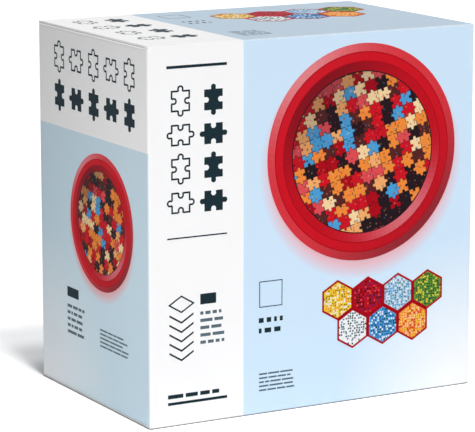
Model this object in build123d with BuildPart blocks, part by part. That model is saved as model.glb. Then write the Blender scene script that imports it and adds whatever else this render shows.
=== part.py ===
from build123d import *
import os
from math import cos, radians, sin

# A boxed puzzle sorter: six stackable trays with the outline of a jigsaw piece, nested into one
# stack that stands on edge inside a folding carton with a tuck-in lid at each end.
# Millimetres, +Z up, the carton's front towards -Y, origin at the middle of its base.

# Tray outline: a square body with knobs on its top and left edges, sockets in the other two
tray_side = 165.0
knob_reach = 25.0
knob_radius = 21.5
neck_fillet = 5.0
knob_clearance = 0.4
tray_corner = 8.0

# Tray shell: the square foot of each tray drops into the rim of the one before it
tray_count = 6
tray_height = 19.5
tray_wall = 1.5
tray_floor = 1.6
nest_depth = 2.0
nest_clearance = 0.4
foot_corner = 6.0

# Carton board and its folds
board = 1.0
fold_radius = 1.5
crease_round = 0.7
crease_gap = 0.1
leaf_gap = 0.2

# Room around the tray stack
side_play = 3.5
head_room = 5.4
back_room = 16.0
seat_gap = 0.2
tuck_to_tray = 0.8

# Lid and its tuck flap
lid_gap = 0.3
lid_side_inset = 0.4
tuck_depth = 18.0
tuck_lean = 9.0
tuck_side_gap = 3.0
tuck_corner = 10.0

# Dust flaps under the lid
dust_length = 62.0
dust_tuck_gap = 2.6
dust_back_gap = 0.5
dust_relief = 0.5
dust_corner = 6.0

# Glue flap of the carton's seam
glue_width = 14.0
glue_end_gap = 6.0
glue_taper = 5.0

# Sizes that follow from the ones above
tray_pitch = tray_height - nest_depth
tray_span = tray_side + knob_reach
stack_depth = (tray_count - 1) * tray_pitch + tray_height
knob_offset = tray_side / 2 + knob_reach - knob_radius
socket_offset = tray_side / 2 - knob_reach + knob_radius
socket_reach = knob_reach + knob_clearance
foot_side = tray_side - socket_reach - 2 * (tray_wall + nest_clearance)

lean_in = tuck_depth * sin(radians(tuck_lean)) + board * cos(radians(tuck_lean))
front_room = lid_gap + lean_in + tuck_to_tray
closure = 2 * board + leaf_gap
inner_width = tray_span + 2 * side_play
inner_depth = front_room + stack_depth + back_room
carton_width = inner_width + 2 * board
carton_depth = inner_depth + 2 * board
carton_height = 2 * closure + seat_gap + tray_span + head_room
half_width = carton_width / 2
half_depth = carton_depth / 2

lid_front = -half_depth + board + lid_gap
dust_front = lid_front + board + dust_tuck_gap
dust_back = half_depth - board - dust_back_gap
under_lid = board + crease_gap
under_dust_flap = closure + crease_gap
tray_x = knob_reach / 2
tray_z = closure + seat_gap + tray_side / 2
stack_back = half_depth - board - back_room
middle = Plane.XY.offset(carton_height / 2)

os.makedirs("parts", exist_ok=True)


def finish(piece, name):
    """Labels a finished piece and writes it to its own file."""
    piece.label = name
    export_step(piece, f"parts/{name}.step")


# Carton tube: four panels, parted on the mitre through each corner fold
def panel_across(side):
    """Mitred outline of the front (-1) or back (1) panel, seen from above."""
    mitre = 2 * fold_radius
    outer = side * half_depth
    inner = side * (half_depth - mitre)
    return [
        (-half_width, outer),
        (half_width, outer),
        (half_width - mitre, inner),
        (mitre - half_width, inner),
    ]


def panel_along(side):
    """Mitred outline of the left (-1) or right (1) panel, seen from above."""
    mitre = 2 * fold_radius
    outer = side * half_width
    inner = side * (half_width - mitre)
    return [
        (outer, -half_depth),
        (outer, half_depth),
        (inner, half_depth - mitre),
        (inner, mitre - half_depth),
    ]


def tube_wall(mitred_outline, cut_back):
    """One panel of the tube, cut back from the carton's top and bottom."""
    with BuildPart() as wall:
        with BuildSketch(Plane.XY.offset(cut_back)):
            RectangleRounded(carton_width, carton_depth, fold_radius)
            RectangleRounded(inner_width, inner_depth, fold_radius - board, mode=Mode.SUBTRACT)
            with BuildLine():
                Polyline(*mitred_outline, close=True)
            make_face(mode=Mode.INTERSECT)
        extrude(amount=carton_height - 2 * cut_back)
    return wall.part


with BuildPart() as carton_front:
    add(tube_wall(panel_across(-1), 0))
finish(carton_front.part, "carton_front")

with BuildPart() as carton_back:
    add(tube_wall(panel_across(1), under_lid))
finish(carton_back.part, "carton_back")

# Each side panel is one board lower where its dust flaps fold over, and keeps a tab at the front
fold_start = dust_front - dust_relief
for side_name, side in (("carton_left", -1), ("carton_right", 1)):
    with BuildPart() as side_panel:
        add(tube_wall(panel_along(side), under_lid))
        with BuildSketch(Plane.YZ):
            with Locations((fold_start, under_lid), (fold_start, carton_height - under_dust_flap)):
                Rectangle(half_depth - fold_start, under_dust_flap - under_lid, align=Align.MIN)
        extrude(amount=side * carton_width, mode=Mode.SUBTRACT)
    finish(side_panel.part, side_name)

# Glue flap: a tapered strip from the left panel, stuck to the inside of the back panel
glue_side = fold_radius - board - inner_width / 2
glue_low = under_dust_flap + glue_end_gap
glue_high = carton_height - glue_low
with BuildPart() as glue_flap:
    with BuildSketch(Plane.XZ.offset(board - half_depth)):
        with BuildLine():
            Polyline(
                (glue_side, glue_low),
                (glue_side + glue_width, glue_low + glue_taper),
                (glue_side + glue_width, glue_high - glue_taper),
                (glue_side, glue_high),
                close=True,
            )
        make_face()
    extrude(amount=board)
finish(glue_flap.part, "glue_flap")

# Top lid: turns about the outer edge of its fold on the back panel
with BuildPart() as top_lid:
    with BuildSketch(Plane.XY.offset(carton_height - board)):
        with Locations((0, half_depth)):
            Rectangle(
                carton_width - 2 * lid_side_inset,
                half_depth - lid_front,
                align=(Align.CENTER, Align.MAX),
            )
    extrude(amount=board)
    folds = top_lid.edges().filter_by(Axis.X).group_by(Axis.Z)[-1]
    fillet(folds, crease_round)
finish(top_lid.part, "top_lid")

# Top tuck flap: hangs from the lid's front fold behind the front panel, leaning inwards
lean_down = Plane(
    origin=(0, lid_front, carton_height),
    x_dir=(1, 0, 0),
    z_dir=(0, cos(radians(tuck_lean)), sin(radians(tuck_lean))),
)
tuck_start = (board * (1 + sin(radians(tuck_lean))) + crease_gap) / cos(radians(tuck_lean))
with BuildPart() as top_tuck_flap:
    with BuildSketch(lean_down) as tuck_outline:
        with Locations((0, tuck_start)):
            Rectangle(
                inner_width - 2 * tuck_side_gap,
                tuck_depth - tuck_start,
                align=(Align.CENTER, Align.MIN),
            )
        fillet(tuck_outline.vertices().group_by(Axis.Y)[-1], tuck_corner)
    extrude(amount=board)
finish(top_tuck_flap.part, "top_tuck_flap")

# Top dust flaps: one board lower, their back edges cut at 45 degrees to swing clear of the lid
dust_tip = dust_length - half_width
with BuildPart() as dust_flap_left:
    with BuildSketch(Plane.XY.offset(carton_height - closure)) as dust_outline:
        with BuildLine():
            Polyline(
                (-half_width, dust_front),
                (dust_tip, dust_front),
                (dust_tip, dust_back - dust_length),
                (-half_width, dust_back),
                close=True,
            )
        make_face()
        fillet(dust_outline.vertices().group_by(Axis.X)[-1], dust_corner)
    extrude(amount=board)
    fillet(dust_flap_left.edges().filter_by(Axis.Y).group_by(Axis.X)[0].sort_by(Axis.Z)[-1], crease_round)
finish(dust_flap_left.part, "top_dust_flap_left")

with BuildPart() as dust_flap_right:
    mirror(dust_flap_left.part, about=Plane.YZ)
finish(dust_flap_right.part, "top_dust_flap_right")

# Bottom closure: the same four pieces, mirrored at half height
bottom_pieces = {
    "bottom_lid": top_lid,
    "bottom_tuck_flap": top_tuck_flap,
    "bottom_dust_flap_left": dust_flap_left,
    "bottom_dust_flap_right": dust_flap_right,
}
for bottom_name, top_piece in bottom_pieces.items():
    with BuildPart() as bottom_piece:
        mirror(top_piece.part, about=middle)
    finish(bottom_piece.part, bottom_name)


# Trays: moulded shells that stand on a square foot, tray_1 at the back of the carton
def jigsaw_outline(plane, inset):
    """The jigsaw-piece outline on a plane, moved inwards by inset."""
    with BuildSketch(plane) as outline:
        Rectangle(tray_side, tray_side)
        with Locations((0, knob_offset), (-knob_offset, 0)):
            Circle(knob_radius)
        fillet(outline.vertices().sort_by_distance((0, 0, 0))[:4], neck_fillet)
        fillet(outline.vertices().sort_by_distance((0, 0, 0))[-4:], tray_corner)
        with Locations((0, -socket_offset), (socket_offset, 0)):
            Circle(knob_radius + knob_clearance, mode=Mode.SUBTRACT)
        fillet(outline.vertices().sort_by_distance((0, 0, 0))[:4], neck_fillet - knob_clearance)
        if inset > 0:
            offset(amount=-inset)
    return outline.sketch


def foot_outline(plane, inset):
    """The square foot on a plane, between the knob walls and the ends of the sockets."""
    with BuildSketch(plane) as outline:
        with Locations((-socket_reach / 2, socket_reach / 2)):
            Rectangle(foot_side - 2 * inset, foot_side - 2 * inset)
        chamfer(outline.vertices(), foot_corner - inset)
    return outline.sketch


foot = Plane(origin=(tray_x, stack_back, tray_z), x_dir=(1, 0, 0), z_dir=(0, -1, 0))
with BuildPart() as tray_shell:
    extrude(jigsaw_outline(foot.offset(nest_depth), 0), amount=tray_pitch)
    extrude(foot_outline(foot, 0), amount=nest_depth)
    well = jigsaw_outline(foot.offset(nest_depth + tray_floor), tray_wall)
    extrude(well, amount=tray_height, mode=Mode.SUBTRACT)
    foot_well = foot_outline(foot.offset(tray_floor), tray_wall)
    extrude(foot_well, amount=tray_height, mode=Mode.SUBTRACT)

for number in range(tray_count):
    with BuildPart() as tray:
        with Locations((0, -number * tray_pitch, 0)):
            add(tray_shell.part)
    finish(tray.part, f"tray_{number + 1}")
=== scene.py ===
import math

import bmesh
import bpy
import numpy as np
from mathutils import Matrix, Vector
from mathutils.geometry import tessellate_polygon


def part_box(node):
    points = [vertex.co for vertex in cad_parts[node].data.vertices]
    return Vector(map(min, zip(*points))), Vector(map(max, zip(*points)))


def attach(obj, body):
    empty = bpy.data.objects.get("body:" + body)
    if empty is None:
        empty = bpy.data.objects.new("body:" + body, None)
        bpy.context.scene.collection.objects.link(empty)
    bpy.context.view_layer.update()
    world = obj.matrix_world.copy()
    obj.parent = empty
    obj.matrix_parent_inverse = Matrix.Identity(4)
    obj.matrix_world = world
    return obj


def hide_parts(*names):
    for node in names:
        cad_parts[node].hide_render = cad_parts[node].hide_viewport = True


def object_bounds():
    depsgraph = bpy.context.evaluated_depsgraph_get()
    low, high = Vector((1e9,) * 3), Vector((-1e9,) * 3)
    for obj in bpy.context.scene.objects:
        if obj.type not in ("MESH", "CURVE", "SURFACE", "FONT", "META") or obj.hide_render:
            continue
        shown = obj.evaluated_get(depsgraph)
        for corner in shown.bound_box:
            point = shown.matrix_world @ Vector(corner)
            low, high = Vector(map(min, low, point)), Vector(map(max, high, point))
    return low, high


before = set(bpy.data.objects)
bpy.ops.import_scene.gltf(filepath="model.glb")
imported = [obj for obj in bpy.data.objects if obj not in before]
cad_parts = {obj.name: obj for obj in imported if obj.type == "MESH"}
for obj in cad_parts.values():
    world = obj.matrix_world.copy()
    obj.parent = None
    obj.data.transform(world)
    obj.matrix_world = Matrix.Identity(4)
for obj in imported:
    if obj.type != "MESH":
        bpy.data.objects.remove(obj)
cad_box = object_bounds()

# Carton: its box from the frame, in metres, and its board
MM = 0.001
LOW, HIGH = np.array(cad_box[0]), np.array(cad_box[1])
TALL = HIGH[2]
BOARD = 1.0 * MM
TUCK_LEAN = math.radians(9)

# How deep the coat reaches into the board, where it is flat and round a lid's folds; then how far a lid's
# folds reach from the carton's sides, over what width they blend out, and how near its cut edges lie
FLAT_DEPTH = 0.5 * BOARD
FOLD_DEPTH = 0.9 * BOARD
FOLD_REACH = 2.1 * BOARD
FOLD_BLEND = 0.1 * BOARD
CUT_REACH = 0.5 * BOARD

# Camera: its place round the carton, its lens, and how far beside the carton's middle it looks
PHOTO_WIDTH = 475
AZIMUTH = math.radians(-29.23)
ELEVATION = math.radians(10.95)
DISTANCE = 1.4622
FOCAL_PIXELS = 2657.0
SENSOR = 36.0
AIM_RIGHT = -0.0096
AIM_UP = -0.00716

# Key light: a column of suns in front, by their elevations in degrees
KEY_RISES = (60, 71, 82)
KEY_LEVEL = 0.755
KEY_SPREAD = math.radians(8)
KEY_TURN = math.radians(-5.5)

# Fill light: low and broad
FILL_TOWARDS = (0.17, -0.97, 0.17)
FILL_LEVEL = 1.17
FILL_SPREAD = math.radians(50)

# Side light: a spot at the left that fades towards the carton's back
SIDE_PLACE = (-1.2, -0.15, 0.25)
SIDE_AIM = (-0.1, -0.13, 0.055)
SIDE_POWER = 15.0
SIDE_CONE = math.radians(26)
SIDE_SIZE = 0.1

# Surroundings: the world as light, and the floor as light, in view and in size
SKY_LEVEL = 0.16
FLOOR_ALBEDO = 0.82
FLOOR_IN_VIEW = 1.28
FLOOR_HALF = 4.0
FLOOR_DROP = 0.1 * MM

# Print layout in metres: the white bands, the print that runs over a fold, the strip along folds that is worn
# and lit by a painted highlight, the heights between which the painted contact shadow along the lower edge
# fades, and the height of one ink layer
FRONT_BAND = 55.8 * MM
SIDE_BAND = 55.0 * MM
BLEED = 6.0 * MM
WORN_AND_HIGHLIT_STRIP = 0.9 * MM
CONTACT_SHADE_STRIP = (0.4 * MM, 0.8 * MM)
INK_STEP = 0.03 * MM

# Ink layers above the first, counted from the board: of a tile, and then of a badge
SPECK_LAYER = 2
BASE_LAYER = 2
FACE_LAYER = 3
FLECK_LAYER = 4
RING_LAYER = 5

# Round badges on two panels, in millimetres across and down: centre and radius; their light and smoothness
PRINT_LIGHT = (-0.6, -0.8)
ROUND_POINTS = 96
BADGES = {"front": ((128.5, 64.5), 58.5), "left": ((75.5, 100.0), 37.0)}

# Glow on the board round a badge, as shares of its radius: how much lower it lies, and where it starts and is
# full; then its strength
GLOW_DROP = 0.1
GLOW_START = 1.08
GLOW_FULL = 0.94
GLOW_SHARE = 0.6

# Printed colours, as sRGB values from 0 to 255
PAPER_WHITE = (249, 249, 250)
SKY_TINT = (207, 230, 250)
SKY_PALE = (246, 249, 252)
SIDE_TINT = (205, 227, 239)
END_TINT = (190, 208, 223)
# Painted contact shadow: the grey of the thin line along the carton's lower edge
CONTACT_SHADE_GREY = (120, 120, 122)
SLATE = (28, 47, 55)
SLATE_SOFT = (92, 110, 120)
SCARLET = (206, 20, 36)
BRICK = (172, 10, 26)
CORAL = (222, 78, 84)
ORANGE = (240, 140, 60)
CREAM = (246, 214, 164)
PEACH = (242, 172, 108)
AZURE = (74, 158, 214)
OCEAN = (40, 96, 168)
NIGHT = (34, 22, 28)
UMBER = (84, 36, 36)
PLUM = (120, 30, 90)
LEAF = (96, 150, 60)
FOREST = (60, 96, 40)
LEMON = (240, 206, 60)
OCHRE = (150, 110, 30)
PEARL = (236, 240, 244)
MIST = (170, 204, 226)
GLOW = (244, 150, 150)

# Colours of the bare board and of the trays, in the same way
FIBRE = (226, 224, 220)
FIBRE_PALE = (234, 232, 229)
FIBRE_FLECK = (180, 175, 168)
TRAY_RED = (200, 14, 28)
TRAY_RED_PALE = (209, 20, 33)

# Finishes: roughness of the smoothest and the roughest patches, refraction, the board's faint mirror, and
# the range that most of a noise's values fill
VARNISH_ROUGH = (0.46, 0.56)
FIBRE_ROUGH = (0.82, 0.95)
PLASTIC_ROUGH = (0.20, 0.28)
VARNISH_IOR = 1.45
PLASTIC_IOR = 1.5
BOARD_SPECULAR = 0.04
NOISE_SPAN = (0.3, 0.7)

# Panels: the directions in which each print runs across and down, and the direction to its inside
PANEL_AXES = {
    "front": ("+x", "-z", "+y"),
    "back": ("-x", "-z", "-y"),
    "left": ("-y", "-z", "+x"),
    "right": ("+y", "-z", "-x"),
    "top": ("+x", "-y", "-z"),
    "bottom": ("+x", "-y", "+z"),
}
PANEL_TINTS = {
    "front": SKY_TINT,
    "back": SKY_TINT,
    "left": SIDE_TINT,
    "right": SIDE_TINT,
    "top": END_TINT,
    "bottom": END_TINT,
}

# Pale corners: the corner as shares across and down, and the distances where the fade starts and is full
PALE_CORNERS = {
    "front": ((1, 1), 85 * MM, 15 * MM),
    "back": ((1, 1), 85 * MM, 15 * MM),
    "left": ((0, 1), 90 * MM, 0.0),
    "right": ((1, 1), 90 * MM, 0.0),
}

# Tray outline in millimetres: the square body, its knobs and sockets, and its corners
SIDE = 165.0
KNOB_REACH = 25.0
KNOB_RADIUS = 21.5
NECK = 5.0
KNOB_GAP = 0.4
CORNER = 8.0

# Tray shell in millimetres: wall and floor, and the square foot that nests into the tray before it
HEIGHT = 19.5
WALL = 1.5
FLOOR = 1.6
NEST = 2.0
NEST_GAP = 0.4
FOOT_CORNER = 6.0

# Tray edges in millimetres: their rounds, and the short flat after each of them; the angle of a sharp edge
SEAM = 0.6
RIM = 0.65
FLOOR_ROUND = 0.8
FOOT_ROUND = 0.3
FLAT = 0.4
SHARP_ANGLE = math.radians(35)


def linear(colour):
    """Scene-linear RGBA of an sRGB colour given as 0 to 255: ((c + 0.055) / 1.055) ** 2.4."""
    c = np.asarray(colour, float) / 255
    c = np.where(c <= 0.04045, c / 12.92, ((c + 0.055) / 1.055) ** 2.4)
    return (*c.tolist(), 1.0)


def mixed(a, b, share):
    """The sRGB colour that lies the given share of the way from a to b."""
    return tuple(np.asarray(a, float) * (1 - share) + np.asarray(b, float) * share)


def axis_of(direction):
    """Number and sign of an axis written like +x or -z."""
    return "xyz".index(direction[1]), 1 if direction[0] == "+" else -1


def flat_axes(face):
    """Numbers of the two axes along which a panel lies, across and down."""
    return [axis_of(direction)[0] for direction in PANEL_AXES[face][:2]]


# Node helpers
def new_material(name):
    """A node material with its tree and its Principled shader."""
    material = bpy.data.materials.new(name)
    material.use_nodes = True
    tree = material.node_tree
    return material, tree, tree.nodes["Principled BSDF"]


def connect(tree, value, socket):
    """Links a socket to the input, or sets the input to a plain value."""
    if isinstance(value, bpy.types.NodeSocket):
        tree.links.new(value, socket)
    else:
        socket.default_value = value


def node(tree, kind, inputs=None, **settings):
    """Adds a node, sets its properties, and links or sets each of its inputs."""
    made = tree.nodes.new(kind)
    for key, value in settings.items():
        setattr(made, key, value)
    for key, value in (inputs or {}).items():
        connect(tree, value, made.inputs[key])
    return made


def maths(tree, operation, a, b=0.0):
    """One Math node; a and b are sockets or numbers."""
    return node(tree, "ShaderNodeMath", {0: a, 1: b}, operation=operation).outputs[0]


def blended(tree, share, a, b):
    """Colour mix: a where share is 0, b where it is 1."""
    return node(tree, "ShaderNodeMix", {0: share, 6: a, 7: b}, data_type="RGBA").outputs[2]


def ramp(tree, value, low, high, to_low=0.0, to_high=1.0):
    """Linear map of value from low..high to to_low..to_high, clamped."""
    inputs = {"Value": value, "From Min": low, "From Max": high, "To Min": to_low, "To Max": to_high}
    return node(tree, "ShaderNodeMapRange", inputs, clamp=True).outputs[0]


def coordinates(tree):
    """Object coordinates, and their three parts, in metres of the carton's own frame."""
    place = tree.nodes.new("ShaderNodeTexCoord").outputs["Object"]
    return place, node(tree, "ShaderNodeSeparateXYZ", {0: place}).outputs


def distance_along(tree, parts, direction):
    """Distance in metres from the side of the carton where the given direction starts."""
    i, sign = axis_of(direction)
    if sign > 0:
        return maths(tree, "SUBTRACT", parts[i], LOW[i])
    return maths(tree, "SUBTRACT", HIGH[i], parts[i])


def edge_distance(tree, parts, i):
    """Distance in metres from the nearer of the carton's two sides along axis i: half - |p - middle|."""
    middle = (LOW[i] + HIGH[i]) / 2
    offset = maths(tree, "ABSOLUTE", maths(tree, "SUBTRACT", parts[i], middle))
    return maths(tree, "SUBTRACT", HIGH[i] - middle, offset)


def away_from(tree, across, down, point):
    """Distance in metres on a panel from a point that is given across and down."""
    here = node(tree, "ShaderNodeCombineXYZ", {0: across, 1: down}).outputs[0]
    inputs = {0: here, 1: (*point, 0.0)}
    return node(tree, "ShaderNodeVectorMath", inputs, operation="DISTANCE").outputs["Value"]


def noise(tree, place, scale, detail=4.0, roughness=0.6):
    """Fractal noise over the given coordinates, with scale in cells per metre."""
    inputs = {"Vector": place, "Scale": scale, "Detail": detail, "Roughness": roughness}
    return node(tree, "ShaderNodeTexNoise", inputs).outputs[0]


def bump(tree, shader, height, strength, distance):
    """Bump from a height socket into the shader's normal."""
    inputs = {"Height": height, "Strength": strength, "Distance": distance}
    made = node(tree, "ShaderNodeBump", inputs)
    tree.links.new(made.outputs[0], shader.inputs["Normal"])


# Board and plastic
def fibre_board(tree, place):
    """Grey-white uncoated board: fine flecks on soft cloudy fibre."""
    cloud = ramp(tree, noise(tree, place, scale=90.0, detail=3.0), 0.35, 0.68)
    fleck = ramp(tree, noise(tree, place, scale=1900.0, detail=2.0), 0.60, 0.72, to_high=0.35)
    base = blended(tree, cloud, linear(FIBRE), linear(FIBRE_PALE))
    return blended(tree, fleck, base, linear(FIBRE_FLECK))


def board_surface(tree, shader, place, outside):
    """Roughness and bump: satin varnish with a faint calender grain outside, open fibre inside."""
    grain = noise(tree, place, scale=2600.0, detail=3.0)
    varnish = ramp(tree, noise(tree, place, scale=60.0, detail=3.0), *NOISE_SPAN, *VARNISH_ROUGH)
    fibre = ramp(tree, grain, *NOISE_SPAN, *FIBRE_ROUGH)
    rough = node(tree, "ShaderNodeMix", {0: outside, 2: fibre, 3: varnish}, data_type="FLOAT")
    tree.links.new(rough.outputs[0], shader.inputs["Roughness"])
    shader.inputs["IOR"].default_value = VARNISH_IOR
    shader.inputs["Specular IOR Level"].default_value = BOARD_SPECULAR
    bump(tree, shader, grain, strength=0.12, distance=0.05 * MM)


def plain_board():
    """Uncoated board, as on the inside of the carton."""
    material, tree, shader = new_material("plain_board")
    place = coordinates(tree)[0]
    tree.links.new(fibre_board(tree, place), shader.inputs["Base Color"])
    board_surface(tree, shader, place, 0.0)
    return material


def coated_board(tree, shader, place, outside, colour):
    """Puts a colour on the coated side of the board and leaves the other side bare."""
    both = blended(tree, outside, fibre_board(tree, place), colour)
    tree.links.new(both, shader.inputs["Base Color"])
    board_surface(tree, shader, place, outside)


def cut_edge(tree, parts):
    """1 on the cut edges at the sides of a lid, 0 elsewhere."""
    return maths(tree, "LESS_THAN", edge_distance(tree, parts, 0), CUT_REACH)


def print_wear_and_painted_light(tree, place, parts, face, colour):
    """Wears the print to the paper along the folds round a panel, with a painted highlight there, and paints
    a grey contact shadow along the carton's lower edge.
    """
    fold = maths(tree, "MINIMUM", *(edge_distance(tree, parts, i) for i in flat_axes(face)))
    patchy = ramp(tree, noise(tree, place, scale=260.0, detail=5.0), 0.42, 0.62, to_low=0.1, to_high=0.7)
    # Painted highlight as well as wear: paper white along the folds stands in for the light that the rounded
    # folds catch
    near = ramp(tree, fold, 0.0, WORN_AND_HIGHLIT_STRIP, to_low=1.0, to_high=0.0)
    wear_and_highlight = maths(tree, "MULTIPLY", near, patchy)
    colour = blended(tree, wear_and_highlight, colour, linear(PAPER_WHITE))
    # Painted shadow: a grey line along the lower edge stands in for the shade where the carton meets the
    # floor; on the bottom lid only on its cut edges
    contact_shade = ramp(tree, parts[2], *CONTACT_SHADE_STRIP, to_low=0.9, to_high=0.0)
    if face == "bottom":
        contact_shade = maths(tree, "MULTIPLY", contact_shade, cut_edge(tree, parts))
    return blended(tree, contact_shade, colour, linear(CONTACT_SHADE_GREY))


def tint_of(tree, face, across, down):
    """A panel's tint, which fades to pale towards one of its corners."""
    colour = linear(PANEL_TINTS[face])
    if face not in PALE_CORNERS:
        return colour
    shares, start, full = PALE_CORNERS[face]
    corner = (HIGH - LOW)[flat_axes(face)] * shares
    pale = ramp(tree, away_from(tree, across, down, corner), start, full)
    return blended(tree, pale, colour, linear(SKY_PALE))


def printed_board(face):
    """Varnished print on a panel: white band, tint with a pale corner, glow round a badge, bare inside."""
    material, tree, shader = new_material(f"print_{face}")
    place, parts = coordinates(tree)
    across, down, inwards = (distance_along(tree, parts, d) for d in PANEL_AXES[face])
    colour = tint_of(tree, face, across, down)
    if face in BADGES:
        middle, radius = np.array(BADGES[face][0]) * MM, BADGES[face][1] * MM
        away = away_from(tree, across, down, middle + (0, GLOW_DROP * radius))
        glow = ramp(tree, away, GLOW_START * radius, GLOW_FULL * radius, to_high=GLOW_SHARE)
        colour = blended(tree, glow, colour, linear(GLOW))
    band = (down, SIDE_BAND) if face in ("left", "right") else (across, FRONT_BAND)
    colour = blended(tree, maths(tree, "LESS_THAN", *band), colour, linear(PAPER_WHITE))
    colour = print_wear_and_painted_light(tree, place, parts, face, colour)
    depth = FLAT_DEPTH
    if face in ("top", "bottom"):
        from_fold = edge_distance(tree, parts, 1)
        depth = ramp(tree, from_fold, FOLD_REACH, FOLD_REACH + FOLD_BLEND, FOLD_DEPTH, FLAT_DEPTH)
        more = maths(tree, "MULTIPLY", cut_edge(tree, parts), FOLD_DEPTH - FLAT_DEPTH)
        depth = maths(tree, "ADD", depth, more)
    coated_board(tree, shader, place, maths(tree, "LESS_THAN", inwards, depth), colour)
    return material


def flap_board(end, kind):
    """White coated flap, bare inside; the print of its panel runs a little over the fold."""
    material, tree, shader = new_material(f"{end}_{kind}_board")
    place, parts = coordinates(tree)
    from_end = distance_along(tree, parts, "-z" if end == "top" else "+z")
    if kind == "dust_flap":
        low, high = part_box(f"{end}_dust_flap_left")
        outer = TALL - high.z if end == "top" else low.z
        from_fold = edge_distance(tree, parts, 0)
        depth = maths(tree, "MINIMUM", maths(tree, "SUBTRACT", from_end, outer), from_fold)
        along = (distance_along(tree, parts, d) for d in PANEL_AXES["left"][:2])
        bled = linear(PAPER_WHITE) if end == "top" else tint_of(tree, "left", *along)
    else:
        behind = maths(tree, "SUBTRACT", parts[1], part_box(f"{end}_lid")[0].y)
        behind = maths(tree, "MULTIPLY", behind, math.cos(TUCK_LEAN))
        depth = maths(tree, "SUBTRACT", behind, maths(tree, "MULTIPLY", from_end, math.sin(TUCK_LEAN)))
        from_fold = from_end
        band = maths(tree, "LESS_THAN", distance_along(tree, parts, "+x"), FRONT_BAND)
        bled = blended(tree, band, linear(END_TINT), linear(PAPER_WHITE))
    past = maths(tree, "GREATER_THAN", from_fold, BLEED)
    colour = blended(tree, past, bled, linear(PAPER_WHITE))
    coated_board(tree, shader, place, maths(tree, "LESS_THAN", depth, FLAT_DEPTH), colour)
    return material


def printing_ink():
    """Ink under the varnish: the mark's own colour with a faint mottle from the press."""
    material, tree, shader = new_material("printing_ink")
    place = coordinates(tree)[0]
    ink = node(tree, "ShaderNodeAttribute", attribute_name="ink").outputs["Color"]
    mottle = ramp(tree, noise(tree, place, scale=700.0), *NOISE_SPAN, to_low=0.93)
    dimmed = node(tree, "ShaderNodeVectorMath", {0: ink, 3: mottle}, operation="SCALE").outputs[0]
    tree.links.new(dimmed, shader.inputs["Base Color"])
    board_surface(tree, shader, place, 1.0)
    return material


def tray_plastic():
    """Glossy moulded red plastic: faint flow marks, fine orange peel and handling haze."""
    material, tree, shader = new_material("tray_plastic")
    place = coordinates(tree)[0]
    flow = ramp(tree, noise(tree, place, scale=26.0, detail=3.0), *NOISE_SPAN)
    colour = blended(tree, flow, linear(TRAY_RED), linear(TRAY_RED_PALE))
    tree.links.new(colour, shader.inputs["Base Color"])
    haze = ramp(tree, noise(tree, place, scale=140.0), 0.3, 0.75, *PLASTIC_ROUGH)
    tree.links.new(haze, shader.inputs["Roughness"])
    shader.inputs["IOR"].default_value = PLASTIC_IOR
    peel = noise(tree, place, scale=420.0, detail=2.0)
    bump(tree, shader, peel, strength=0.04, distance=0.2 * MM)
    return material


# Mesh helpers
def add_mesh(name, points, faces, material):
    """A mesh object at the origin from an (n, 3) array of points and a list of faces."""
    mesh = bpy.data.meshes.new(name)
    mesh.from_pydata(np.asarray(points).tolist(), [], faces)
    mesh.update()
    mesh.materials.append(material)
    made = bpy.data.objects.new(name, mesh)
    bpy.context.scene.collection.objects.link(made)
    return made


def ring_faces(rings, size):
    """Quads between closed rings of points: ring k, point i to point i + 1, then ring k + 1 back again."""
    k, i = np.meshgrid(np.arange(rings - 1), np.arange(size), indexing="ij")
    j = (i + 1) % size
    quads = np.stack([k * size + i, k * size + j, (k + 1) * size + j, (k + 1) * size + i], -1)
    return quads.reshape(-1, 4)


# Flat shapes, as loops of points in millimetres
def arc(centre, radius, start, end, count):
    """Points centre + radius * (cos t, sin t) for t from start to end."""
    t = np.linspace(start, end, count)
    return np.asarray(centre) + radius * np.stack([np.cos(t), np.sin(t)], -1)


def regular(sides, radius, centre=(0.0, 0.0), turn=0.0):
    """Corners of a regular polygon, or a disc where it has many sides."""
    return arc(centre, radius, turn, turn + 2 * math.pi * (1 - 1 / sides), sides)


def bar(left, top, width, height):
    """A rectangle from its upper left corner."""
    right, bottom = left + width, top + height
    return np.array([(left, top), (right, top), (right, bottom), (left, bottom)])


def turned(loop, angle):
    """The loop turned about the origin."""
    c, s = math.cos(angle), math.sin(angle)
    return loop @ np.array([(c, s), (-s, c)])


def clockwise(loop):
    """The loop as an array that runs clockwise on the panel, so that its outer side faces outwards."""
    loop = np.asarray(loop, float)
    ahead = np.roll(loop, -1, 0)
    twice_area = np.sum(loop[:, 0] * ahead[:, 1] - ahead[:, 0] * loop[:, 1])
    return loop[::-1] if twice_area > 0 else loop


def jigsaw_side(knob, head=0.135, rise=0.115, neck=0.045, steps=5):
    """One side of a jigsaw piece, from (0, 0) towards (1, 0), with a knob out (1) or in (-1).

    A head circle stands with its centre at the given rise, and two neck circles join it to the side, so
    their centres lie at sqrt((head + neck)^2 - (rise - neck)^2) from its middle.
    """
    away = math.sqrt((head + neck) ** 2 - (rise - neck) ** 2)
    lean = math.atan2(rise - neck, away)
    points = np.concatenate([
        [(0.0, 0.0)],
        arc((0.5 - away, neck), neck, -math.pi / 2, lean, steps)[:-1],
        arc((0.5, rise), head, math.pi + lean, -lean, 3 * steps),
        arc((0.5 + away, neck), neck, math.pi - lean, 1.5 * math.pi, steps)[1:],
    ])
    return points * (1, -knob)


def jigsaw_loop(knobs):
    """A jigsaw piece on the unit square about its centre, from the knobs of its four sides in turn."""
    sides = [turned(jigsaw_side(knob) - (0.5, 0.5), i * math.pi / 2) for i, knob in enumerate(knobs)]
    return np.concatenate(sides)


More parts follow.
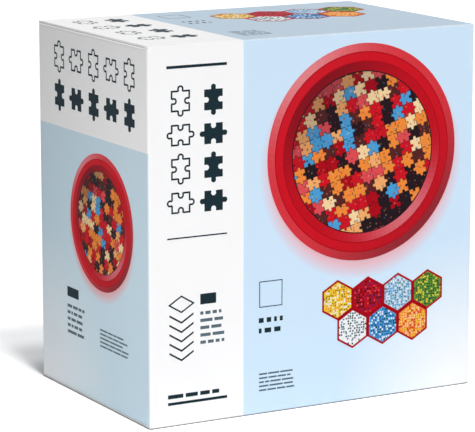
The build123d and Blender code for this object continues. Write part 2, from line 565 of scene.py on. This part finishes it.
# Prints
class Print:
    """Marks printed on one panel: loops in millimetres across and down, each with a colour and a layer."""

    def __init__(self, face):
        """Starts at the panel's corner: middle - half * (across + down + inwards)."""
        directions = [axis_of(direction) for direction in PANEL_AXES[face]]
        self.across, self.down, inwards = (sign * np.eye(3)[i] for i, sign in directions)
        self.out = -inwards
        self.start = (LOW + HIGH) / 2 - (HIGH - LOW) / 2 * (self.across + self.down + inwards)
        self.points, self.faces, self.colours = [], [], []
        self.count = 0

    def _add(self, loops, lifts, faces, colours):
        """Adds loops of points, start + a * across + d * down + lift * out, and coloured faces."""
        for loop, lift in zip(loops, lifts):
            flat = loop * MM
            spot = self.start + flat[:, :1] * self.across + flat[:, 1:] * self.down
            self.points.append(spot + lift * INK_STEP * self.out)
        self.faces += [(np.asarray(face) + self.count).tolist() for face in faces]
        self.colours += colours
        self.count += sum(len(loop) for loop in loops)

    def fill(self, loop, colour, layer=1):
        """A solid mark: a thin prism whose top follows the loop."""
        loop = clockwise(loop)
        ring = np.arange(len(loop))
        faces = [*ring_faces(2, len(loop)), ring + len(loop), ring[::-1]]
        self._add([loop, loop], [0, layer], faces, [colour] * len(faces))

    def stroke(self, loop, width, colour, layer=1):
        """A closed line of even width: a band between the loop moved out and in along its normals.

        Its colour is one colour, or a function that gives one for each point of the loop.
        """
        loop = clockwise(loop)
        colours = list(colour(loop)) if callable(colour) else [colour] * len(loop)
        ahead = np.roll(loop, -1, 0) - loop
        ahead /= np.linalg.norm(ahead, axis=1, keepdims=True)
        side = np.stack([-ahead[:, 1], ahead[:, 0]], -1)
        both = side + np.roll(side, 1, 0)
        both /= np.maximum(np.sum(both * side, 1, keepdims=True), 0.4)
        outer, inner = loop + both * width / 2, loop - both * width / 2
        faces = ring_faces(5, len(loop)) % (4 * len(loop))
        self._add([inner, inner, outer, outer], [0, layer, layer, 0], faces, colours * 4)

    def dashes(self, left, top, width, height, lengths, colour):
        """A line of plain dashes with even gaps; lengths are shares of what the gaps leave."""
        gap = 0.7 * height
        room = width - gap * (len(lengths) - 1)
        for length in np.asarray(lengths, float) / sum(lengths):
            self.fill(bar(left, top, room * length, height), colour)
            left += room * length + gap

    def finish(self, name, material, body):
        """Makes the print one object with a colour on every face corner, riding on the panel's body."""
        made = add_mesh(name, np.concatenate(self.points), self.faces, material)
        sizes = [len(face) for face in self.faces]
        inks = np.array([linear(colour) for colour in self.colours])
        attribute = made.data.color_attributes.new("ink", "FLOAT_COLOR", "CORNER")
        attribute.data.foreach_set("color", np.repeat(inks, sizes, axis=0).ravel())
        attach(made, body)


def mosaic(sheet, centre, radius, cell, tilt, seed):
    """Prints interlocking jigsaw pieces on a tilted grid, as far as they reach into a disc.

    Each joint's knob points one way, drawn from the seed, and neighbours share it. A piece has a dark
    base, a lighter face, which is smaller and shifted like a bevel, and small turned squares of other
    colours. Towards the printed light the pieces lie in the shade of the rim.
    """
    base_size, face_size, bevel = 0.985, 0.92, 0.015 * cell
    flecks, fleck_radius, fleck_reach = 4, 0.085 * cell, 0.36
    shade_start, rim_dark, base_dark, fleck_share = 0.35, 0.6, 0.5, 0.4
    overlap = 0.75 * cell
    draw = np.random.default_rng(seed)
    reach = int(radius / cell) + 1
    count = 2 * reach + 1
    upright = draw.choice((-1, 1), (count, count + 1))
    level = draw.choice((-1, 1), (count + 1, count))
    tints = [SCARLET, NIGHT, ORANGE, CORAL, CREAM, AZURE, NIGHT, BRICK, ORANGE, SCARLET, UMBER, PEACH]
    choice = draw.permutation(np.resize(np.arange(len(tints)), count * count)).reshape(count, count)
    for row, column in np.ndindex(count, count):
        place = np.array((column - reach, row - reach)) * cell
        spots = draw.uniform(-fleck_reach, fleck_reach, (flecks, 2)) * cell
        turns = draw.uniform(0, math.pi / 2, flecks)
        others = draw.integers(len(tints), size=flecks)
        if np.linalg.norm(place) > radius + overlap:
            continue
        above, below = level[row, column], level[row + 1, column]
        before, after = upright[row, column], upright[row, column + 1]
        loop = jigsaw_loop((above, -after, -below, before)) * cell
        lit = turned(place, tilt) @ PRINT_LIGHT / radius
        rim_shade = rim_dark * np.clip(lit - shade_start, 0, 1)
        tint = mixed(tints[choice[row, column]], NIGHT, rim_shade)
        base = turned(loop * base_size + place, tilt) + centre
        sheet.fill(base, mixed(tint, NIGHT, base_dark), BASE_LAYER)
        face = turned(loop * face_size + place - bevel, tilt) + centre
        sheet.fill(face, tint, FACE_LAYER)
        for spot, turn, other in zip(spots, turns, others):
            fleck = turned(regular(4, fleck_radius, place + spot, turn), tilt) + centre
            sheet.fill(fleck, mixed(tint, tints[other], fleck_share), FLECK_LAYER)


def gloss(centre, tint, facing):
    """A function for the colours round a ring: light where it faces the printed light, dark opposite.

    What counts is facing times the cosine between a point's direction from the centre and the light. The
    light falls off with its fourth power and the dark with its square.
    """
    strongest = 0.4

    def colours(points):
        away = points - np.asarray(centre)
        lit = facing * (away @ PRINT_LIGHT) / np.linalg.norm(away, axis=1)
        bright = mixed(tint, PAPER_WHITE, strongest * np.clip(lit, 0, 1)[:, None] ** 4)
        return mixed(bright, NIGHT, strongest * np.clip(-lit, 0, 1)[:, None] ** 2)

    return colours


def badge(sheet, centre, radius, cell, tilt, seed):
    """A round badge: red rings with dark lines between them, round a window full of jigsaw pieces.

    Each ring has its outer and inner edge, as shares of the radius, its colour, and the way it faces:
    outwards (1), inwards (-1) or straight up (0).
    """
    rings = [
        (1.00, 0.925, mixed(SCARLET, CORAL, 0.6), 1),
        (0.925, 0.915, BRICK, 0),
        (0.915, 0.84, SCARLET, 0.5),
        (0.84, 0.83, BRICK, 0),
        (0.83, 0.75, mixed(SCARLET, BRICK, 0.4), -1),
        (0.75, 0.74, NIGHT, 0),
    ]
    window = rings[-1][1] * radius
    sheet.fill(regular(ROUND_POINTS, window + cell, centre), NIGHT)
    mosaic(sheet, np.asarray(centre), window, cell, tilt, seed)
    for outer, inner, tint, facing in rings:
        middle = regular(ROUND_POINTS, radius * (outer + inner) / 2, centre)
        sheet.stroke(middle, radius * (outer - inner), gloss(centre, tint, facing), RING_LAYER)


def speckled_tile(sheet, centre, radius, tints, seed):
    """A red-edged hexagon full of small turned squares, one to each cell of a jittered grid."""
    ground, edge, edge_width, reach = 0.92 * radius, 0.95 * radius, 0.1 * radius, 0.78 * radius
    cells, jitter = 8, 0.2
    cell = radius / cells
    speck_radius = 0.46 * cell
    point_up = math.pi / 6
    draw = np.random.default_rng(seed)
    centre = np.asarray(centre, float)
    sheet.fill(regular(6, ground, centre, point_up), tints[0])
    sheet.stroke(regular(6, edge, centre, point_up), edge_width, BRICK, SPECK_LAYER)
    for column, row in np.ndindex(2 * cells + 1, 2 * cells + 1):
        spot = (np.array((column, row)) - cells + draw.uniform(-jitter, jitter, 2)) * cell
        turn, tint = draw.uniform(0, math.pi), tints[1 + draw.integers(len(tints) - 1)]
        if np.linalg.norm(spot) < reach:
            sheet.fill(regular(4, speck_radius, centre + spot, turn), tint, SPECK_LAYER)


def tile_block(sheet, left, top, radius, seed):
    """Seven speckled hexagons in two staggered rows, four above three."""
    fills = [
        (LEMON, PEARL, ORANGE, OCHRE),
        (BRICK, SCARLET, CORAL, NIGHT, PLUM),
        (MIST, AZURE, PEARL, SLATE_SOFT),
        (LEAF, FOREST, LEMON, SLATE),
        (PEARL, SLATE, SLATE_SOFT, PAPER_WHITE),
        (AZURE, OCEAN, SLATE, PEARL),
        (ORANGE, CREAM, SCARLET, LEMON),
    ]
    wide, tall = radius * math.sqrt(3), radius * 1.5
    for i, tints in enumerate(fills):
        row, column = divmod(i, 4)
        centre = (left + wide * (column + 0.5 + 0.5 * row), top + radius + tall * row)
        speckled_tile(sheet, centre, radius, tints, seed + i)


def piece_row(sheet, left, top, size, step, count, solid):
    """A line of small jigsaw pieces, drawn as thin outlines or solid; step is the move across and down."""
    shapes = [(1, -1, 1, -1), (-1, 1, -1, 1)]
    body, line = 0.6 * size, 0.055 * size
    for i in range(count):
        middle = np.array((left, top)) + size / 2 + i * np.array(step)
        loop = jigsaw_loop(shapes[i % 2]) * body + middle
        if solid:
            sheet.fill(loop, SLATE)
        else:
            sheet.stroke(loop, line, SLATE)


def dash_lines(sheet, left, top, width, rows, pitch, height, seed, colour=SLATE_SOFT):
    """Lines of two to four dashes of uneven length, set flush left."""
    draw = np.random.default_rng(seed)
    for row in range(rows):
        lengths = draw.uniform(0.6, 1.6, draw.integers(2, 5))
        filled = width * draw.uniform(0.78, 1.0)
        sheet.dashes(left, top + row * pitch, filled, height, lengths, colour)


def layered_tiles(sheet, left, top, width, count, step):
    """A pile of flat tiles seen from a corner: an outlined rhombus, and the near edges of the others."""
    half, rise = width / 2, 0.3 * width
    thick, line = 1.1, 0.8
    rhombus = np.array([(half, 0.0), (width, rise), (half, 2 * rise), (0.0, rise)]) + (left, top)
    sheet.stroke(rhombus, line, SLATE)
    near = rhombus[[3, 2, 1]]
    edge = np.concatenate([near, near[::-1] + (0, thick)])
    for i in range(1, count):
        sheet.fill(edge + (0, i * step), SLATE)


# Carton: the CAD panels keep their shape and get their print
ink = printing_ink()
finishes = {
    "glue_flap": plain_board(),
    "top_lid": printed_board("top"),
    "bottom_lid": printed_board("bottom"),
}
for face in ("front", "back", "left", "right"):
    finishes[f"carton_{face}"] = printed_board(face)
for end in ("top", "bottom"):
    finishes[f"{end}_tuck_flap"] = flap_board(end, "tuck_flap")
    dust_board = flap_board(end, "dust_flap")
    finishes[f"{end}_dust_flap_left"] = dust_board
    finishes[f"{end}_dust_flap_right"] = dust_board
for name, finish in finishes.items():
    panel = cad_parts[name].data
    panel.materials.clear()
    panel.materials.append(finish)

# Front print: each mark's place and size in millimetres across and down the panel
front = Print("front")
front.fill(bar(10.8, 10.7, width=35.1, height=1.5), SLATE)
front.fill(bar(10.8, 187.1, width=35.1, height=1.5), SLATE)
front.fill(bar(10.8, 99.9, width=35.1, height=0.75), SLATE)
piece_row(front, 10.3, 20.5, size=17.0, step=(0, 17.6), count=4, solid=False)
piece_row(front, 29.0, 20.5, size=18.0, step=(0, 17.6), count=4, solid=True)
layered_tiles(front, 11.8, 131.0, width=14.2, count=6, step=5.0)
front.fill(bar(30.0, 131.0, width=9.4, height=5.6), SLATE)
dash_lines(front, 30.0, 140.4, width=14.3, rows=5, pitch=3.9, height=1.7, seed=3)
dash_lines(front, 10.8, 183.0, width=35.1, rows=1, pitch=3.0, height=2.1, seed=5, colour=SLATE)
badge(front, *BADGES["front"], cell=6.6, tilt=math.radians(-14), seed=11)
front.stroke(regular(4, 9.6, (72.3, 135.3), turn=math.pi / 4), 0.5, SLATE)
dash_lines(front, 65.0, 148.0, width=15.0, rows=2, pitch=5.6, height=2.6, seed=7, colour=SLATE)
tile_block(front, 104.0, 132.5, radius=11.0, seed=20)
dash_lines(front, 65.2, 178.0, width=22.0, rows=5, pitch=2.2, height=0.9, seed=9)
front.finish("front_print", ink, "carton")

# Left print
left = Print("left")
piece_row(left, 17.0, 7.6, size=18.5, step=(20.8, 0), count=5, solid=False)
piece_row(left, 16.5, 28.0, size=19.5, step=(20.8, 0), count=5, solid=True)
badge(left, *BADGES["left"], cell=5.0, tilt=math.radians(12), seed=31)
left.fill(bar(33.0, 142.0, width=14.0, height=5.4), SLATE)
dash_lines(left, 33.0, 151.8, width=21.3, rows=5, pitch=3.6, height=1.6, seed=13)
dash_lines(left, 72.8, 157.8, width=33.9, rows=5, pitch=2.2, height=0.9, seed=15)
left.finish("left_print", ink, "carton")

# Top print
top = Print("top")
piece_row(top, 9.6, 13.0, size=17.0, step=(0, 26.0), count=4, solid=False)
piece_row(top, 28.0, 13.0, size=18.0, step=(0, 26.0), count=4, solid=True)
top.stroke(regular(4, 9.6, (72.4, 22.0), turn=math.pi / 4), 0.5, SLATE)
dash_lines(top, 65.0, 44.0, width=15.8, rows=2, pitch=8.0, height=3.4, seed=17, colour=SLATE)
tile_block(top, 91.0, 22.0, radius=13.4, seed=40)
dash_lines(top, 65.0, 96.0, width=19.7, rows=5, pitch=4.0, height=1.6, seed=19)
top.finish("top_print", ink, "top_lid")


# Trays: the wall's section is carried round the outline, and a square foot closes the floor
def tray_side(knob, steps=9):
    """One tray side and the corner after it: points and outward normals, along and out.

    Each arc that runs into a straight stretch has one more point a little way along it, so that the
    stretch is shaded flat.
    """
    radius = KNOB_RADIUS + (0 if knob > 0 else KNOB_GAP)
    neck = NECK - (0 if knob > 0 else KNOB_GAP)
    rise = KNOB_REACH - KNOB_RADIUS
    away = math.sqrt((radius + neck) ** 2 - (rise - neck) ** 2)
    lean = math.atan2(rise - neck, away)
    spans = [
        (arc((-away, neck), neck, -math.pi / 2, lean, steps)[:-1], (-away, neck), -neck),
        (arc((0.0, rise), radius, math.pi + lean, -lean, 5 * steps), (0.0, rise), radius),
        (arc((away, neck), neck, math.pi - lean, 1.5 * math.pi, steps)[1:], (away, neck), -neck),
    ]
    points, normals = [[(-away - FLAT, 0.0)]], [[(0.0, 1.0)]]
    for loop, middle, signed_radius in spans:
        points.append(loop * (1, knob))
        normals.append((loop - middle) / signed_radius * (1, knob) * knob)
    middle = np.array((SIDE / 2 - CORNER, -CORNER))
    loop = arc(middle, CORNER, math.pi / 2, 0.0, steps)
    points += [[(away + FLAT, 0.0), loop[0] - (FLAT, 0.0)], loop, [loop[-1] - (0.0, FLAT)]]
    normals += [[(0.0, 1.0), (0.0, 1.0)], (loop - middle) / CORNER, [(1.0, 0.0)]]
    return np.concatenate(points), np.concatenate(normals)


def tray_outline():
    """The whole outline, side by side in X and Z about the tray's centre, with outward normals."""
    sides = [(-1, (1, 0), (0, -1)), (-1, (0, 1), (1, 0)), (1, (-1, 0), (0, 1)), (1, (0, -1), (-1, 0))]
    points, normals = [], []
    for knob, along, out in sides:
        side_points, side_normals = tray_side(knob)
        turn = np.array((along, out), float)
        points.append((side_points + (0, SIDE / 2)) @ turn)
        normals.append(side_normals @ turn)
    return np.concatenate(points), np.concatenate(normals)


def wall_section():
    """The wall's section from its lower edge over the rim to the floor: inset from the outline, depth.

    It is rounds joined by straight runs, with one more point a little way along each run.
    """
    floor = NEST + FLOOR
    return np.concatenate([
        [(SEAM + FLAT, NEST)],
        arc((SEAM, NEST + SEAM), SEAM, 1.5 * math.pi, math.pi, 5),
        [(0.0, NEST + SEAM + FLAT), (0.0, HEIGHT - RIM - FLAT)],
        arc((RIM, HEIGHT - RIM), RIM, math.pi, math.pi / 2, 6),
        arc((WALL - RIM, HEIGHT - RIM), RIM, math.pi / 2, 0.0, 6),
        [(WALL, HEIGHT - RIM - FLAT), (WALL, floor + FLOOR_ROUND + FLAT)],
        arc((WALL + FLOOR_ROUND, floor + FLOOR_ROUND), FLOOR_ROUND, math.pi, 1.5 * math.pi, 6),
        [(WALL + FLOOR_ROUND + FLAT, floor)],
    ])


def foot_loop(inset):
    """The square foot with cut corners, between the knob walls and the ends of the sockets."""
    reach = KNOB_REACH + KNOB_GAP
    half = (SIDE - reach) / 2 - WALL - NEST_GAP - inset
    cut = FOOT_CORNER - inset
    corner = np.array([(half - cut, -half), (half, cut - half)])
    corners = [turned(corner, i * math.pi / 2) for i in range(4)]
    return np.concatenate(corners) + (-reach / 2, reach / 2)


def loft(loops):
    """Points in X, depth and Z of loops given with their depths, and the quads between them."""
    points = [
        np.column_stack([loop[:, 0], np.full(len(loop), depth), loop[:, 1]])
        for loop, depth in loops
    ]
    return np.concatenate(points), ring_faces(len(loops), len(loops[0][0]))


def between(outer, inner):
    """Triangles of the flat ring between an outer loop and an inner one, counted through both."""
    loops = [np.pad(loop, ((0, 0), (0, 1))).tolist() for loop in (outer, inner)]
    return np.array(tessellate_polygon(loops))


def tray_mesh():
    """One tray about its outline's centre: P(s, t) = outline(s) - inset(t) * normal(s), at depth(t).

    The foot hangs below the wall's lower edge, and its hollow lies below the floor. Each of the two joins
    the wall by a flat ring and ends in a flat face.
    """
    outline, normals = tray_outline()
    wall = [(outline - inset * normals, depth) for inset, depth in wall_section()]
    foot = [(foot_loop(0.0), NEST), (foot_loop(0.0), FOOT_ROUND), (foot_loop(FOOT_ROUND), 0.0)]
    hollow = [
        (foot_loop(WALL), NEST + FLOOR),
        (foot_loop(WALL), FLOOR + FOOT_ROUND),
        (foot_loop(WALL + FOOT_ROUND), FLOOR),
    ]
    points, quads = loft(wall)
    faces = quads.tolist()
    last_ring = len(points) - len(outline)
    for loops, wall_loop, wall_start in ((foot, wall[0][0], 0), (hollow, wall[-1][0], last_ring)):
        start = len(points)
        made, quads = loft(loops)
        points = np.concatenate([points, made])
        faces += (quads + start).tolist()
        first, last = loops[0][0], np.arange(len(points) - len(loops[-1][0]), len(points))
        joined = np.concatenate([np.arange(len(outline)) + wall_start, np.arange(len(first)) + start])
        faces += joined[between(wall_loop, first)].tolist()
        faces.append(last.tolist())
    return points, faces


def make_tray(name, material):
    """Places a tray where its solid stands, foot to the back, and turns all its faces outwards."""
    low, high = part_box(name)
    points, faces = tray_mesh()
    middle = np.array((high.x / MM - SIDE / 2, high.y / MM, low.z / MM + SIDE / 2))
    made = add_mesh(f"{name}_shell", (middle + points * (1, -1, 1)) * MM, faces, material)
    shell = bmesh.new()
    shell.from_mesh(made.data)
    bmesh.ops.recalc_face_normals(shell, faces=shell.faces)
    shell.to_mesh(made.data)
    shell.free()
    made.data.shade_smooth()
    made.data.set_sharp_from_angle(angle=SHARP_ANGLE)
    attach(made, name)
    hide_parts(name)


red_plastic = tray_plastic()
for tray_name in sorted(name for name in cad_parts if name.startswith("tray")):
    make_tray(tray_name, red_plastic)


# Floor, light and camera
def in_view(tree):
    """1 for rays from the camera, a reflection or a clear material, 0 for all other light."""
    paths = tree.nodes.new("ShaderNodeLightPath").outputs
    seen = maths(tree, "MAXIMUM", paths["Is Camera Ray"], paths["Is Glossy Ray"])
    return maths(tree, "MAXIMUM", seen, paths["Is Transmission Ray"])


def white_floor():
    """Pale matt floor, brighter in view: white where it is lit, and with the carton's shadow on it."""
    material, tree, shader = new_material("studio_floor")
    tree.nodes.remove(shader)
    level = ramp(tree, in_view(tree), 0.0, 1.0, FLOOR_ALBEDO, FLOOR_IN_VIEW)
    grey = node(tree, "ShaderNodeCombineXYZ", {0: level, 1: level, 2: level}).outputs[0]
    matt = node(tree, "ShaderNodeBsdfDiffuse", {"Color": grey}).outputs[0]
    tree.links.new(matt, tree.nodes["Material Output"].inputs["Surface"])
    return material


def studio_world(level):
    """Even white surround: full white in view, and the given level as light."""
    world = bpy.data.worlds.new("studio")
    bpy.context.scene.world = world
    world.use_nodes = True
    tree = world.node_tree
    background = tree.nodes["Background"]
    background.inputs["Color"].default_value = (1.0, 1.0, 1.0, 1.0)
    tree.links.new(ramp(tree, in_view(tree), 0.0, 1.0, level, 1.0), background.inputs["Strength"])


def hang_lamp(data, towards, place=(0.0, 0.0, 0.0)):
    """Puts a lamp at its place, turned so that it shines from the given direction."""
    lamp = bpy.data.objects.new(data.name, data)
    lamp.location = place
    lamp.rotation_euler = Vector(towards).to_track_quat("Z", "Y").to_euler()
    bpy.context.scene.collection.objects.link(lamp)


def soft_sun(name, towards, strength, spread):
    """A distant lamp with a soft edge to its shadows."""
    data = bpy.data.lights.new(name, "SUN")
    data.energy = strength
    data.angle = spread
    hang_lamp(data, towards)


def soft_spot(name, place, aim, power, cone, size):
    """A lamp whose cone of light fades smoothly from its middle to its edge."""
    data = bpy.data.lights.new(name, "SPOT")
    data.energy = power
    data.spot_size = cone
    data.spot_blend = 1.0
    data.shadow_soft_size = size
    hang_lamp(data, Vector(place) - Vector(aim), place)


def photo_camera():
    """Camera at the photograph's viewing angle, without shift."""
    back = Vector((
        math.sin(AZIMUTH) * math.cos(ELEVATION),
        -math.cos(AZIMUTH) * math.cos(ELEVATION),
        math.sin(ELEVATION),
    ))
    right = Vector((math.cos(AZIMUTH), math.sin(AZIMUTH), 0.0))
    up = back.cross(right)
    data = bpy.data.cameras.new("photo_camera")
    data.sensor_width = SENSOR
    data.lens = FOCAL_PIXELS / PHOTO_WIDTH * SENSOR
    camera = bpy.data.objects.new("photo_camera", data)
    aim = Vector((0.0, 0.0, TALL / 2)) + right * AIM_RIGHT + up * AIM_UP
    camera.location = aim + back * DISTANCE
    camera.rotation_euler = (-back).to_track_quat("-Z", "Y").to_euler()
    bpy.context.scene.collection.objects.link(camera)
    bpy.context.scene.camera = camera


floor_corners = np.array([(-1, -1, 0), (1, -1, 0), (1, 1, 0), (-1, 1, 0)]) * FLOOR_HALF - (0, 0, FLOOR_DROP)
add_mesh("studio_floor", floor_corners, [[0, 1, 2, 3]], white_floor())
studio_world(SKY_LEVEL)
for rise in KEY_RISES:
    level, up = math.cos(math.radians(rise)), math.sin(math.radians(rise))
    towards = (level * math.sin(KEY_TURN), -level * math.cos(KEY_TURN), up)
    soft_sun(f"key_{rise}", towards, KEY_LEVEL, KEY_SPREAD)
soft_sun("fill", FILL_TOWARDS, FILL_LEVEL, FILL_SPREAD)
soft_spot("side", SIDE_PLACE, SIDE_AIM, SIDE_POWER, SIDE_CONE, SIDE_SIZE)
photo_camera()
bpy.context.scene.view_settings.view_transform = "Standard"
